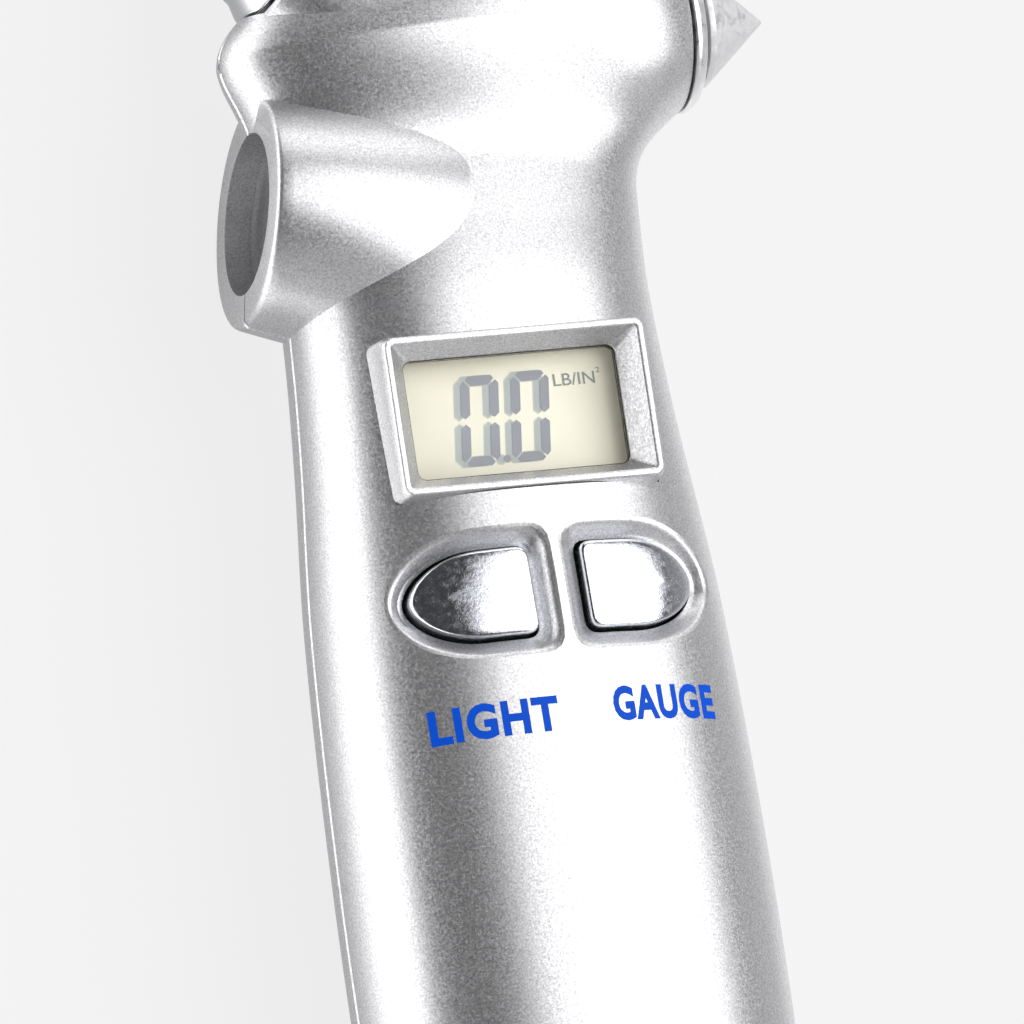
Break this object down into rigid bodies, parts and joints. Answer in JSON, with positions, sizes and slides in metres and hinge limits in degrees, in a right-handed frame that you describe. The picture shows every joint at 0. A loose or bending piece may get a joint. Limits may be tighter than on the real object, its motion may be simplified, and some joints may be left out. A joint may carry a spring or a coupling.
{
  "type": "tire pressure gauge",
  "caption": "Hand-held digital tyre pressure gauge with display, two buttons, valve nozzle, side torch and hammer point.",
  "frame": {"origin": "on the flat back face, straight behind the middle of the display", "axes": "+X to the right of the display, +Y from the grip to the head, +Z out of the display side"},
  "size_m": [0.0539, 0.1978, 0.028],
  "materials": {
    "silver_paint": "fine silver metallic paint on moulded plastic",
    "chrome_plate": "bright chrome plate",
    "steel": "turned steel",
    "clear_plastic": "clear moulded plastic",
    "display_cream": "liquid crystal panel on a cream reflector",
    "white_plastic": "white moulded plastic",
    "black_rubber": "black rubber",
    "board_green": "green solder mask",
    "black_plastic": "black moulded plastic",
    "cell_sleeve": "printed metal sleeve",
    "nickel": "nickel-plated spring steel",
    "lead_red": "red wire covering",
    "reflector": "mirror metallised cup",
    "sensor_grey": "grey moulded plastic"
  },
  "bodies": {
    "casing": {"front_shell": "silver_paint", "rear_shell": "silver_paint", "display_window": "clear_plastic", "display_panel": "display_cream", "display_holder": "white_plastic", "display_connector_upper": "black_rubber", "display_connector_lower": "black_rubber", "circuit_board": "board_green", "controller_chip": "black_plastic", "light_switch_body": "black_plastic", "gauge_switch_body": "black_plastic", "nozzle_body": "chrome_plate", "nozzle_seal": "black_rubber", "valve_pin": "steel", "nozzle_nut": "steel", "pressure_sensor": "sensor_grey", "air_tube": "clear_plastic", "torch_lens": "clear_plastic", "torch_seal": "black_rubber", "torch_reflector": "reflector", "torch_led": "clear_plastic", "torch_board": "board_green", "hammer_tip": "steel", "hammer_collar": "chrome_plate", "hammer_nut": "steel", "battery_1": "cell_sleeve", "battery_2": "cell_sleeve", "contact_head_1": "nickel", "contact_head_2": "nickel", "contact_foot": "nickel", "battery_spring_1": "nickel", "battery_spring_2": "nickel", "battery_lead_red": "lead_red", "battery_lead_black": "black_rubber", "torch_lead_red": "lead_red", "torch_lead_black": "black_rubber", "shell_screw_1": "steel", "shell_screw_2": "steel", "shell_screw_3": "steel", "shell_screw_4": "steel", "shell_screw_5": "steel"},
    "light_key": {"light_button": "chrome_plate", "light_switch_plunger": "white_plastic"},
    "gauge_key": {"gauge_button": "chrome_plate", "gauge_switch_plunger": "white_plastic"},
    "door": {"battery_door": "silver_paint"}
  },
  "joints": [
    {"name": "light_key_press", "type": "slide", "parent": "casing", "child": "light_key", "axis": [0, 0, -1], "range_m": [0, 0.001], "stiffness_N_per_m": 900},
    {"name": "gauge_key_press", "type": "slide", "parent": "casing", "child": "gauge_key", "axis": [0, 0, -1], "range_m": [0, 0.001], "stiffness_N_per_m": 900},
    {"name": "door_open", "type": "hinge", "parent": "casing", "child": "door", "pos_m": [0, -0.10035, 0.00015], "axis": [-1, 0, 0], "range_deg": [0, 75]}
  ]
}
